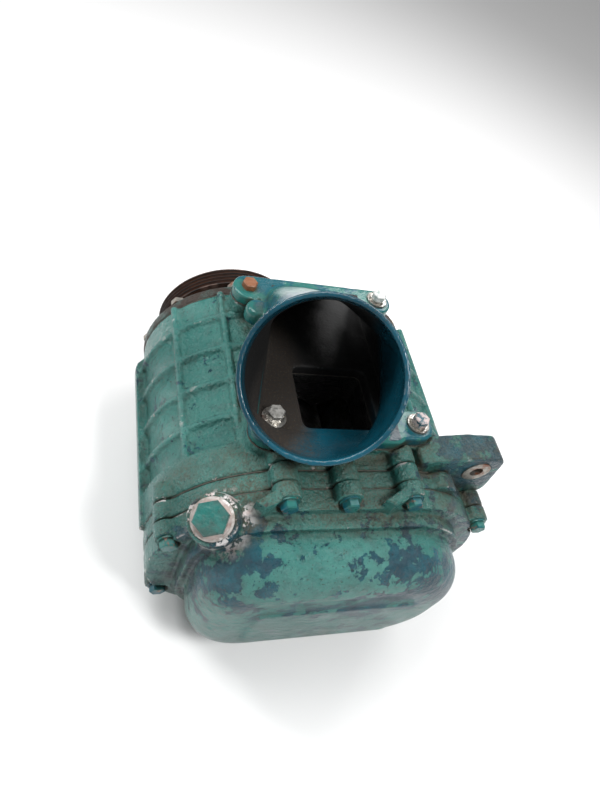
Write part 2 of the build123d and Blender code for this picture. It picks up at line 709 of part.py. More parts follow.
with BuildPart() as driven_shaft:
    add(turned(right, drive_shaft_profile + driven_end))
    add(keyway(right, gear_key_front, gear_key_rear, gear_seat_radius, key_width, key_depth),
        mode=Mode.SUBTRACT)
finish_piece(driven_shaft, "driven_shaft")

# ---- timing gears -------------------------------------------------------------------------
pressure_angle = radians(20)
backlash = 0.3
gear_pitch_radius = gear_module * gear_teeth / 2
gear_tip_radius = gear_pitch_radius + 0.95 * gear_module
gear_root_radius = gear_pitch_radius - 1.25 * gear_module
gear_base_radius = gear_pitch_radius * cos(pressure_angle)
hub_spigot_radius = 17.0


def involute(angle):
    """tan(angle) - angle."""
    return tan(angle) - angle


def flank_point(radius, side):
    """A point of a tooth's flank; the tooth is centred on +X."""
    roll = sqrt(max(radius ** 2 / gear_base_radius ** 2 - 1, 0))
    half = (pi * gear_module / 2 - backlash) / 2 / gear_pitch_radius + involute(pressure_angle)
    angle = side * (half - (roll - atan(roll)))
    return Vector(radius * cos(angle), radius * sin(angle))


def gear_solid(x, turn):
    """A timing gear with its hub spigot, bore and keyway, its first tooth turned from +X by turn degrees."""
    tooth_line = (cos(radians(turn)), 0, sin(radians(turn)))
    with BuildPart() as gear:
        with BuildSketch(cross(gear_rear)):
            with Locations((x, 0)):
                Circle(gear_root_radius)
        extrude(amount=gear_rear - gear_front)
        with BuildSketch(Plane(origin=(x, gear_rear, axis_height), x_dir=tooth_line, z_dir=(0, -1, 0))):
            with PolarLocations(0, gear_teeth):
                add(tooth.sketch)
        extrude(amount=gear_rear - gear_front)
        add(ring(x, gear_rear - 1, journal_front - 0.3, gear_seat_radius, hub_spigot_radius))
        with BuildSketch(cross(gear_rear)):
            with Locations((x, 0)):
                with PolarLocations(28, 6):
                    Circle(6)
        extrude(amount=gear_rear - gear_front, mode=Mode.SUBTRACT)
        add(ring(x, gear_front - 1, journal_front, 0, gear_seat_radius), mode=Mode.SUBTRACT)
        with Locations((x, (gear_front + journal_front) / 2, axis_height)):
            Box(key_width, 40, gear_seat_radius + 2.5, align=(Align.CENTER, Align.CENTER, Align.MIN),
                mode=Mode.SUBTRACT)
    return gear


with BuildSketch() as tooth:
    with BuildLine():
        base, middle, tip = [[flank_point(radius, side) for side in (-1, 1)]
                             for radius in (gear_base_radius, gear_pitch_radius, gear_tip_radius)]
        inner = [Vector(gear_root_radius - 1, point.Y) for point in base]
        ThreePointArc(base[0], middle[0], tip[0])
        Line(tip[0], tip[1])
        ThreePointArc(tip[1], middle[1], base[1])
        Polyline(base[1], inner[1], inner[0], base[0])
    make_face()

drive_gear = gear_solid(left, 0)
finish_piece(drive_gear, "drive_gear")
driven_gear = gear_solid(right, 180 / gear_teeth)
finish_piece(driven_gear, "driven_gear")


def key_piece(x, front, rear, radius, width, height, depth):
    """A round-ended key lying in its shaft."""
    with BuildPart() as key:
        with BuildSketch(Plane.XY.offset(axis_height + radius - depth)):
            with Locations((x, (front + rear) / 2)):
                Rectangle(width - 0.04, rear - front - 0.1)
        extrude(amount=height)
        fillet(key.edges().filter_by(Axis.Z), width * 0.45)
    return key


for name, x in (("drive_gear", left), ("driven_gear", right)):
    gear_key = key_piece(x, gear_key_front, gear_key_rear, gear_seat_radius, key_width, key_height, key_depth)
    finish_piece(gear_key, f"{name}_key")
    with BuildPart() as washer:
        add(ring(x, washer_front, gear_front, gear_thread_radius, 16))
    finish_piece(washer, f"{name}_washer")
    with BuildPart() as nut:
        with BuildSketch(cross(washer_front)):
            with Locations((x, 0)):
                RegularPolygon(radius=12, side_count=6, major_radius=False)
                Circle(gear_thread_radius, mode=Mode.SUBTRACT)
        extrude(amount=washer_front - gear_nut_front)
    finish_piece(nut, f"{name}_nut")

# ---- bearings and seals -------------------------------------------------------------------
ball_radius = 3.9
groove_radius = 4.05
ball_circle = 19.25
balls_per_bearing = 10
cage_half_width = 4.6
pulley_bearing_width = 12.0     # 40 x 62 x 12
pulley_bearing_middle = nose_shoulder_rear + pulley_bearing_width / 2
pulley_bearing_rear = pulley_bearing_middle + pulley_bearing_width / 2
pulley_bearing_radius = 31.0
pulley_ball_radius = 2.9
pulley_groove_radius = 3.05
pulley_ball_circle = 25.5
pulley_balls = 15


def race(x, middle, width, inner, outer, groove, circle):
    """A bearing race: a ring with a round groove for the balls."""
    with BuildPart() as part_race:
        add(ring(x, middle - width / 2, middle + width / 2, inner, outer))
        with BuildSketch(along(x)):
            with Locations((middle, circle)):
                Circle(groove)
        revolve(axis=shaft_axis(x), mode=Mode.SUBTRACT)
    return part_race.part


def ball_places(x, middle, circle, count):
    """Where the centres of one row of balls stand."""
    angles = [2 * pi * number / count for number in range(count)]
    return [(x + circle * cos(angle), middle, axis_height + circle * sin(angle)) for angle in angles]


def cage(x, middle, circle, half_width, half_thickness, pocket, count):
    """A ring with a round pocket for each ball."""
    with BuildPart() as part_cage:
        add(ring(x, middle - half_width, middle + half_width, circle - half_thickness,
                 circle + half_thickness))
        for number in range(count):
            outwards = Pos(x, middle, axis_height) * Rot(0, -360 * number / count, 0) * Pos(circle, 0, 0)
            with Locations(outwards * Rot(0, 90, 0)):
                Cylinder(pocket, 4 * half_thickness, mode=Mode.SUBTRACT)
    return part_cage.part


shaft_bearings = [(x, middle) for x in (left, right) for middle in (front_bearing, rear_bearing)]
with BuildPart() as outer_races:
    for x, middle in shaft_bearings:
        add(race(x, middle, ball_bearing_width, 21.8, ball_bearing_radius, groove_radius, ball_circle))
finish_piece(outer_races, "shaft_bearing_outer_races")

for name, x in (("drive", left), ("driven", right)):
    middles = (front_bearing, rear_bearing)
    with BuildPart() as inner_races:
        for middle in middles:
            add(race(x, middle, ball_bearing_width, journal_radius, 16.7, groove_radius, ball_circle))
    finish_piece(inner_races, f"{name}_bearing_inner_races")
    with BuildPart() as balls:
        for middle in middles:
            with Locations(*ball_places(x, middle, ball_circle, balls_per_bearing)):
                Sphere(ball_radius)
    finish_piece(balls, f"{name}_bearing_balls")
    with BuildPart() as cages:
        for middle in middles:
            add(cage(x, middle, ball_circle, cage_half_width, 1.2, ball_radius + 0.1, balls_per_bearing))
    finish_piece(cages, f"{name}_bearing_cages")

with BuildPart() as shaft_seals:
    for x in (left, right):
        for rear in (bearing_pocket_rear, rear_bearing - ball_bearing_width / 2):
            add(turned(x, [(rear - seal_width, 17), (rear - seal_width, ball_bearing_radius),
                           (rear, ball_bearing_radius), (rear, 23), (rear - seal_width + 2, 23),
                           (rear - seal_width + 2, 15.5), (rear - 2.5, journal_radius + 0.05),
                           (rear - 4, journal_radius + 0.9), (rear - seal_width + 1, 14.5)]))
finish_piece(shaft_seals, "shaft_seals")

# ---- clutch pulley ------------------------------------------------------------------------
groove_count = 4
groove_pitch = 3.56
groove_depth = 3.0
coil_recess = (35.5, 46.5)
recess_floor = 154.0
pulley_hub_front = 140.0
pulley_lip_radius = 28.5

rim_profile = [(pulley_front, coil_recess[1]), (pulley_front, pulley_radius)]
first_groove = (pulley_front + pulley_rear - groove_count * groove_pitch) / 2
for number in range(groove_count):
    start = first_groove + number * groove_pitch
    rim_profile += [(start + 0.25, pulley_radius),
                    (start + groove_pitch / 2 - 0.25, pulley_radius - groove_depth),
                    (start + groove_pitch / 2 + 0.25, pulley_radius - groove_depth),
                    (start + groove_pitch - 0.25, pulley_radius)]
rim_profile += [(pulley_rear, pulley_radius), (pulley_rear, pulley_lip_radius),
                (pulley_bearing_rear, pulley_lip_radius), (pulley_bearing_rear, pulley_bearing_radius),
                (pulley_hub_front, pulley_bearing_radius), (pulley_hub_front, coil_recess[0]),
                (recess_floor, coil_recess[0]), (recess_floor, coil_recess[1])]


with BuildPart() as clutch_pulley:
    add(turned(left, rim_profile))
    # flux slots through the friction face, over the coil
    with BuildSketch(rear_cross(recess_floor - 1, left)):
        for radius, shift in ((38.5, 0), (43.5, 30)):
            with PolarLocations(0, 6, start_angle=shift):
                SlotArc(CenterArc((0, 0), radius, 0, 38, mode=Mode.PRIVATE), 2)
    extrude(amount=pulley_rear - recess_floor + 2, mode=Mode.SUBTRACT)
    # groove for the circlip in front of the bearing
    add(ring(left, nose_shoulder_rear - circlip_thickness - 0.1, nose_shoulder_rear,
             pulley_bearing_radius - 1, pulley_bearing_radius + 1.6), mode=Mode.SUBTRACT)
finish_piece(clutch_pulley, "clutch_pulley")

for name, inner, outer in (("outer", 27.2, pulley_bearing_radius), ("inner", nose_radius, 23.8)):
    with BuildPart() as pulley_race:
        add(race(left, pulley_bearing_middle, pulley_bearing_width, inner, outer, pulley_groove_radius,
                 pulley_ball_circle))
    finish_piece(pulley_race, f"pulley_bearing_{name}_race")

with BuildPart() as pulley_bearing_balls:
    with Locations(*ball_places(left, pulley_bearing_middle, pulley_ball_circle, pulley_balls)):
        Sphere(pulley_ball_radius)
finish_piece(pulley_bearing_balls, "pulley_bearing_balls")

with BuildPart() as pulley_bearing_cage:
    add(cage(left, pulley_bearing_middle, pulley_ball_circle, 3.6, 0.9, pulley_ball_radius + 0.1,
             pulley_balls))
finish_piece(pulley_bearing_cage, "pulley_bearing_cage")


# a plain wire ring holds the bearing in the pulley; its gap is at the top
circlip_gap = 4.0
with BuildPart() as pulley_circlip:
    wire_front = nose_shoulder_rear - circlip_thickness - 0.05
    add(ring(left, wire_front, wire_front + circlip_thickness, drive_boss_radius + 0.4,
             pulley_bearing_radius + 1.3))
    with BuildSketch(rear_cross(wire_front, left)):
        with Locations((0, pulley_bearing_radius)):
            Rectangle(circlip_gap, 6)
    extrude(amount=circlip_thickness, mode=Mode.SUBTRACT)
finish_piece(pulley_circlip, "pulley_circlip")

# the nose's circlip has an eye on each side of its gap
eye_radius = 23.4
eye_places = [(side * (circlip_gap / 2 + 2), eye_radius) for side in (-1, 1)]
with BuildPart() as nose_circlip:
    clip_front = nose_groove_front + 0.05
    add(ring(left, clip_front, clip_front + circlip_thickness, nose_radius - 1.15, nose_radius + 3))
    with BuildSketch(rear_cross(clip_front, left)):
        with Locations(*eye_places):
            Circle(2.4)
    extrude(amount=circlip_thickness)
    with BuildSketch(rear_cross(clip_front, left)):
        with Locations(*eye_places):
            Circle(1.0)
        with Locations((0, eye_radius)):
            Rectangle(circlip_gap, 9)
    extrude(amount=circlip_thickness, mode=Mode.SUBTRACT)
finish_piece(nose_circlip, "nose_circlip")

# ---- clutch coil --------------------------------------------------------------------------
coil_rear = 152.5
coil_back = coil_plate_front + 2.0
coil_inner, coil_outer = 36.3, 45.7
coil_skin = 2.2             # wall of the housing's channel

with BuildPart() as coil_housing:
    add(turned(left, [(coil_plate_front, drive_boss_radius + 0.3), (coil_plate_front, coil_boss_radius),
                      (coil_back, coil_boss_radius), (coil_back, coil_outer), (coil_rear, coil_outer),
                      (coil_rear, coil_outer - coil_skin), (coil_back + 3, coil_outer - coil_skin),
                      (coil_back + 3, coil_inner + coil_skin), (coil_rear, coil_inner + coil_skin),
                      (coil_rear, coil_inner), (coil_back, coil_inner), (coil_back, drive_boss_radius + 0.3)]))
    with BuildSketch(rear_cross(coil_plate_front, left)):
        with PolarLocations(coil_screw_radius, 4, start_angle=45):
            Circle(2.7)
    extrude(amount=2, mode=Mode.SUBTRACT)
finish_piece(coil_housing, "coil_housing")

with BuildPart() as coil_winding:
    add(ring(left, coil_back + 3.05, coil_rear - 1, coil_inner + 2.25, coil_outer - 2.25))
finish_piece(coil_winding, "coil_winding")

lead_angle = 100.0          # of the lead's gland, from the -X side seen from behind
with BuildPart() as coil_lead_gland:
    with BuildSketch(rear_cross(coil_back, left)):
        with PolarLocations(49.0, 1, start_angle=lead_angle):
            RectangleRounded(5, 14, 1.5)
    extrude(amount=6)
    outwards = (-cos(radians(lead_angle)), 0, sin(radians(lead_angle)))
    lead_start = Plane(origin=(left, coil_back + 3, axis_height), x_dir=(0, 1, 0), z_dir=outwards).offset(51)
    with BuildSketch(lead_start):
        Circle(2.6)
    extrude(amount=8)
finish_piece(coil_lead_gland, "coil_lead_gland")

with BuildPart() as coil_screws:
    with BuildSketch(rear_cross(coil_plate_front - 8, left)):
        with PolarLocations(coil_screw_radius, 4, start_angle=45):
            Circle(2.45)
    extrude(amount=coil_back - coil_plate_front + 8)
    with BuildSketch(rear_cross(coil_back, left)):
        with PolarLocations(coil_screw_radius, 4, start_angle=45):
            Circle(2.2)
    extrude(amount=2.2)
finish_piece(coil_screws, "coil_screws")

# ---- clutch hub and armature ----------------------------------------------------------------
hub_flange_front = armature_rear + 1.2
hub_flange_rear = hub_flange_front + 3
hub_flange_radius = 33.0
hub_sleeve_radius = 14.0
leaf_thickness = 0.8
armature_inner, armature_outer = 35.0, 54.0
leaf_angle = 90.0           # of the first of the three leaf springs
leaf_radius = 37.0
leaf_reach = 11.0
rivet_radius = 3.6

with BuildPart() as clutch_hub:
    add(turned(left, [(hub_sleeve_front, hub_seat_radius), (hub_sleeve_front, hub_sleeve_radius),
                      (hub_flange_front, hub_sleeve_radius), (hub_flange_front, hub_flange_radius),
                      (hub_flange_rear, hub_flange_radius), (hub_flange_rear, hub_sleeve_radius),
                      (hub_sleeve_rear, hub_sleeve_radius), (hub_sleeve_rear, hub_seat_radius)]))
    with Locations((left, hub_sleeve_front + 10, axis_height)):
        Box(hub_key_width, 40, hub_seat_radius + 2.2, align=(Align.CENTER, Align.CENTER, Align.MIN),
            mode=Mode.SUBTRACT)
    # rivet heads over the inner ends of the leaf springs
    with BuildSketch(rear_cross(hub_flange_rear, left)):
        with PolarLocations(leaf_radius - leaf_reach, 3, start_angle=leaf_angle):
            Circle(rivet_radius)
    extrude(amount=1.8)
finish_piece(clutch_hub, "clutch_hub")

with BuildPart() as armature_plate:
    add(ring(left, armature_front, armature_rear, armature_inner, armature_outer))
    with BuildSketch(rear_cross(armature_front, left)):
        with PolarLocations(0, 3, start_angle=-5):
            SlotArc(CenterArc((0, 0), 46, 0, 70, mode=Mode.PRIVATE), 2.5)
    extrude(amount=armature_rear - armature_front, mode=Mode.SUBTRACT)
finish_piece(armature_plate, "armature_plate")

with BuildPart() as armature_leaf_springs:
    with BuildSketch(rear_cross(armature_rear, left)):
        with PolarLocations(leaf_radius, 3, start_angle=leaf_angle):
            SlotCenterToCenter(2 * leaf_reach, 11)
    extrude(amount=leaf_thickness)
finish_piece(armature_leaf_springs, "armature_leaf_springs")

with BuildPart() as armature_rivets:
    with BuildSketch(rear_cross(armature_rear + leaf_thickness, left)):
        with PolarLocations(leaf_radius + leaf_reach, 3, start_angle=leaf_angle):
            Circle(rivet_radius)
    extrude(amount=1.8)
    chamfer(armature_rivets.faces().sort_by(Axis.Y)[-3:].edges(), 0.6)
finish_piece(armature_rivets, "armature_rivets")

hub_key = key_piece(left, hub_key_front, hub_key_rear, hub_seat_radius, hub_key_width, hub_key_height,
                    hub_key_depth)
finish_piece(hub_key, "clutch_hub_key")

with BuildPart() as clutch_hub_nut:
    with BuildSketch(rear_cross(hub_sleeve_rear, left)):
        RegularPolygon(radius=9, side_count=6, major_radius=False)
        Circle(hub_thread_radius, mode=Mode.SUBTRACT)
    extrude(amount=7)
    chamfer(clutch_hub_nut.faces().sort_by(Axis.Y)[-1].edges().filter_by(GeomType.LINE), 0.8)
finish_piece(clutch_hub_nut, "clutch_hub_nut")

# ---- fasteners, plugs, dowels and the ear's insert --------------------------------------------
m6_flats = 10.0
m6_head = 5.0
facing_front = Rot(90, 0, 0)
facing_rear = Rot(-90, 0, 0)

with BuildPart() as front_bolts:
    for x, z in front_bolts_xz:
        seat = flange_front if (x, z) in low_bolts else lug_front
        screw = hex_screw(m6 - 0.05, m6_flats, m6_head, casing_front + 10 - seat, 7.0, 1.2)
        add(Pos(x, seat, axis_height + z) * facing_front * screw)
finish_piece(front_bolts, "front_bolts")

with BuildPart() as drive_end_bolts:
    screw = hex_screw(m6 - 0.05, m6_flats, m6_head, drive_plate_rear - casing_rear + 14)
    for x, flip in ((left, 1), (right, -1)):
        for angle in drive_bolt_angles:
            add(Pos(x + flip * drive_bolt_radius * cos(radians(angle)), drive_plate_rear,
                    axis_height + drive_bolt_radius * sin(radians(angle))) * facing_rear * screw)
finish_piece(drive_end_bolts, "drive_end_bolts")

flat_washer, spring_washer = 1.6, 1.8
with BuildPart() as inlet_flat_washers:
    for x, y, rise in washered_seats:
        with BuildSketch(Plane.XY.offset(axis_height + duct_floor + rise)):
            with Locations((x, y)):
                Circle(inlet_washer_radius)
                Circle(m6 + 0.3, mode=Mode.SUBTRACT)
        extrude(amount=flat_washer)
finish_piece(inlet_flat_washers, "inlet_flat_washers")

with BuildPart() as inlet_spring_washers:
    for x, y, rise in washered_seats:
        with BuildSketch(Plane.XY.offset(axis_height + duct_floor + rise + flat_washer)):
            with Locations((x, y)):
                Circle(6.1)
                Circle(m6 + 0.2, mode=Mode.SUBTRACT)
            with Locations((x + 5, y - 1)):
                Rectangle(5, 0.9, mode=Mode.SUBTRACT)
        extrude(amount=spring_washer)
finish_piece(inlet_spring_washers, "inlet_spring_washers")

with BuildPart() as inlet_bolts:
    for x, y, rise in inlet_seats:
        seat = duct_floor + rise
        if (x, y, rise) in washered_seats:
            seat += flat_washer + spring_washer
        add(Pos(x, y, axis_height + seat) * hex_screw(m6 - 0.05, m6_flats, m6_head, seat - inlet_face + 14))
finish_piece(inlet_bolts, "inlet_bolts")

plug_washer = 1.5
with BuildPart() as filler_plug_washer:
    with BuildSketch(plug_seat_plane):
        Circle(13)
        Circle(plug_thread, mode=Mode.SUBTRACT)
    extrude(amount=plug_washer)
finish_piece(filler_plug_washer, "filler_plug_washer")

with BuildPart() as filler_plug:
    add(plug_seat_plane.offset(plug_washer).location * hex_screw(plug_thread - 0.05, 19, 6, 14, 11.5, 1.5))
finish_piece(filler_plug, "filler_plug")

drain_washer = 1.5
with BuildPart() as drain_plug_washer:
    with BuildSketch(Plane.XY.offset(drain_seat)):
        with Locations((0, drain_y)):
            Circle(9)
            Circle(6, mode=Mode.SUBTRACT)
    extrude(amount=-drain_washer)
finish_piece(drain_plug_washer, "drain_plug_washer")

with BuildPart() as drain_plug:
    add(Pos(0, drain_y, drain_seat - drain_washer) * Rot(180, 0, 0) * hex_screw(5.95, 13, 5, 12, 8.5, 1.2))
finish_piece(drain_plug, "drain_plug")

with BuildPart() as locating_dowels:
    for rear, places in ((casing_front + 7.5, front_dowels), (casing_rear + 8, rear_dowels)):
        with BuildSketch(cross(rear)):
            with Locations(*places):
                Circle(dowel_radius)
        extrude(amount=15)
finish_piece(locating_dowels, "locating_dowels")

with BuildPart() as ear_insert:
    with BuildSketch(cross(ear_rear)):
        with Locations(ear_hole):
            Circle(8)
            Circle(5, mode=Mode.SUBTRACT)
    extrude(amount=ear_rear - ear_front)
    with BuildSketch(cross(ear_front)):
        with Locations(ear_hole):
            Circle(10.5)
            Circle(5, mode=Mode.SUBTRACT)
    extrude(amount=0.6)
finish_piece(ear_insert, "mounting_ear_insert")
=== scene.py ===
"""The looks of a clutch-driven twin-rotor supercharger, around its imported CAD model. Metres, +Z up."""

import json

import bpy
from mathutils import Matrix, Vector

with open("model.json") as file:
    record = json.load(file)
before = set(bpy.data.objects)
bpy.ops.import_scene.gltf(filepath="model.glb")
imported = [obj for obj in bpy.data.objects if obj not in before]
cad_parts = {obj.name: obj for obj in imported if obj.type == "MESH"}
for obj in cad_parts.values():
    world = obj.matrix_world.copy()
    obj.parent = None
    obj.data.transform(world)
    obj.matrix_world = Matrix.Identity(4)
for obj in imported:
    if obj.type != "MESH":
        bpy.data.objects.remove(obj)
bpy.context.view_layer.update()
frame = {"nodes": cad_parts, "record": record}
nodes = frame["nodes"]

# ---- the pulley's axis, which runs along Y ----------------------------------------------------
AXIS_X = -0.042
AXIS_HEIGHT = 0.084

# ---- colours (linear) ------------------------------------------------------------------------
SEA_GREEN = (0.018, 0.135, 0.118)
PALE_GREEN = (0.048, 0.195, 0.170)
GREY_GREEN = (0.035, 0.085, 0.075)
SLATE = (0.026, 0.045, 0.042)
OLD_TEAL = (0.001, 0.036, 0.056)
WORN_TEAL = (0.002, 0.080, 0.108)
DUCT_TEAL = (0.004, 0.075, 0.115)
DUCT_DEEP = (0.002, 0.038, 0.060)
# the grime colour, which also paints shade into corners and crevices
GRIME_AND_SHADE = (0.042, 0.036, 0.018)
DUST = (0.080, 0.068, 0.042)
SOOT_BROWN = (0.026, 0.018, 0.012)
BLACK_DIRT = (0.008, 0.007, 0.006)
# near-black: painted shade in the casing's port, and painted shade with oil inside the duct
OIL_AND_SHADE_BLACK = (0.003, 0.003, 0.003)
BARE_ALLOY = (0.52, 0.42, 0.40)
WHITE_SALT = (0.70, 0.68, 0.67)
RUST = (0.170, 0.052, 0.016)
PALE_RUST = (0.24, 0.10, 0.045)
DARK_RUST = (0.030, 0.012, 0.007)
STEEL = (0.42, 0.41, 0.39)
DULL_STEEL = (0.20, 0.195, 0.18)

# ---- places the wear follows -------------------------------------------------------------------
MOUTH_CENTRE = (-0.038, -0.057, 0.228)
MOUTH_AXIS = (-0.4511, -0.5514, 0.7018)
DUCT_MIDDLE = (-0.011, -0.024, 0.186)
PORT_LOW = (-0.036, -0.062, 0.0)
PORT_HIGH = (0.026, -0.004, 0.172)
PLUG_PLACE = (-0.0925, -0.111, 0.160)
PLUG_AXIS = (-0.3496, -0.3496, 0.8691)
EAR_PLACE = (0.100, -0.070, 0.168)
SPARED_WALL = (0.76, -0.65, 0.0)     # from the mouth's middle towards the wall that the duct's painted shade spares
FOOT_SLANT = 0.235                  # of the duct's left edge, in x for each y
FOOT_EDGE = -0.0487
RING_WAVES = 900.0                  # rust rings on the pulley, in radians for each metre of radius


# ---- node helpers ----------------------------------------------------------------------------
class Nodes:
    """Builds one material's node tree, a node or two at a time."""

    def __init__(self, name):
        self.material = bpy.data.materials.new(name)
        self.material.use_nodes = True
        self.tree = self.material.node_tree
        self.shader = self.tree.nodes["Principled BSDF"]
        self.place = self.new("ShaderNodeTexCoord").outputs["Object"]

    def new(self, kind, **settings):
        node = self.tree.nodes.new(kind)
        for key, value in settings.items():
            setattr(node, key, value)
        return node

    def link(self, source, socket):
        if hasattr(source, "is_output"):
            self.tree.links.new(source, socket)
        else:
            socket.default_value = source

    def noise(self, scale, detail=3.0, roughness=0.55, distortion=0.0, stretch=None):
        node = self.new("ShaderNodeTexNoise")
        place = self.place
        if stretch:
            mapping = self.new("ShaderNodeMapping")
            mapping.inputs["Scale"].default_value = stretch
            self.link(self.place, mapping.inputs["Vector"])
            place = mapping.outputs["Vector"]
        self.link(place, node.inputs["Vector"])
        node.inputs["Scale"].default_value = scale
        node.inputs["Detail"].default_value = detail
        node.inputs["Roughness"].default_value = roughness
        node.inputs["Distortion"].default_value = distortion
        return node.outputs["Fac"]

    def math(self, operation, a, b=0.0, clamp=False):
        node = self.new("ShaderNodeMath", operation=operation, use_clamp=clamp)
        self.link(a, node.inputs[0])
        self.link(b, node.inputs[1])
        return node.outputs[0]

    def ramp(self, value, low, high, out_low=0.0, out_high=1.0):
        """value from low to high becomes out_low to out_high, smoothly, and stays there beyond."""
        node = self.new("ShaderNodeMapRange", interpolation_type="SMOOTHSTEP")
        self.link(value, node.inputs["Value"])
        node.inputs["From Min"].default_value = low
        node.inputs["From Max"].default_value = high
        node.inputs["To Min"].default_value = out_low
        node.inputs["To Max"].default_value = out_high
        return node.outputs["Result"]

    def mix(self, factor, a, b):
        node = self.new("ShaderNodeMix", data_type="RGBA")
        self.link(factor, node.inputs["Factor"])
        for value, socket in ((a, node.inputs[6]), (b, node.inputs[7])):
            self.link((*value, 1.0) if isinstance(value, tuple) else value, socket)
        return node.outputs[2]

    def axes(self):
        node = self.new("ShaderNodeSeparateXYZ")
        self.link(self.place, node.inputs[0])
        return node.outputs[0], node.outputs[1], node.outputs[2]

    def pointiness(self):
        return self.new("ShaderNodeNewGeometry").outputs["Pointiness"]

    def up(self):
        node = self.new("ShaderNodeSeparateXYZ")
        self.link(self.normal(), node.inputs[0])
        return node.outputs[2]

    def crevice(self, distance):
        """0 on open faces, towards 1 in corners."""
        node = self.new("ShaderNodeAmbientOcclusion", samples=6)
        node.inputs["Distance"].default_value = distance
        return self.math("SUBTRACT", 1.0, node.outputs["AO"], clamp=True)

    def near(self, centre, radius, soft):
        """1 within radius of a point, 0 beyond radius + soft."""
        node = self.new("ShaderNodeVectorMath", operation="DISTANCE")
        self.link(self.place, node.inputs[0])
        node.inputs[1].default_value = centre
        return self.ramp(node.outputs["Value"], radius, radius + soft, 1.0, 0.0)

    def within(self, low, high, soft=0.0008):
        """1 inside a box, 0 outside."""
        mask = 1.0
        for axis, least, most in zip(self.axes(), low, high):
            mask = self.math("MULTIPLY", mask, self.ramp(axis, least, least + soft))
            mask = self.math("MULTIPLY", mask, self.ramp(axis, most - soft, most, 1.0, 0.0))
        return mask

    def from_place(self, centre):
        """The vector from a point to the surface."""
        node = self.new("ShaderNodeVectorMath", operation="SUBTRACT")
        self.link(self.place, node.inputs[0])
        node.inputs[1].default_value = centre
        return node.outputs["Vector"]

    def dot(self, a, b):
        node = self.new("ShaderNodeVectorMath", operation="DOT_PRODUCT")
        self.link(a, node.inputs[0])
        self.link(b, node.inputs[1])
        return node.outputs["Value"]

    def normal(self):
        return self.new("ShaderNodeNewGeometry").outputs["Normal"]

    def bump(self, height, distance, strength=1.0, after=None):
        node = self.new("ShaderNodeBump")
        node.inputs["Strength"].default_value = strength
        node.inputs["Distance"].default_value = distance
        self.link(height, node.inputs["Height"])
        if after is not None:
            self.link(after, node.inputs["Normal"])
        return node.outputs["Normal"]

    def finish(self, colour, roughness, normal=None, metallic=0.0):
        self.link(colour, self.shader.inputs["Base Color"])
        self.link(roughness, self.shader.inputs["Roughness"])
        self.link(metallic, self.shader.inputs["Metallic"])
        if normal is not None:
            self.link(normal, self.shader.inputs["Normal"])
        return self.material


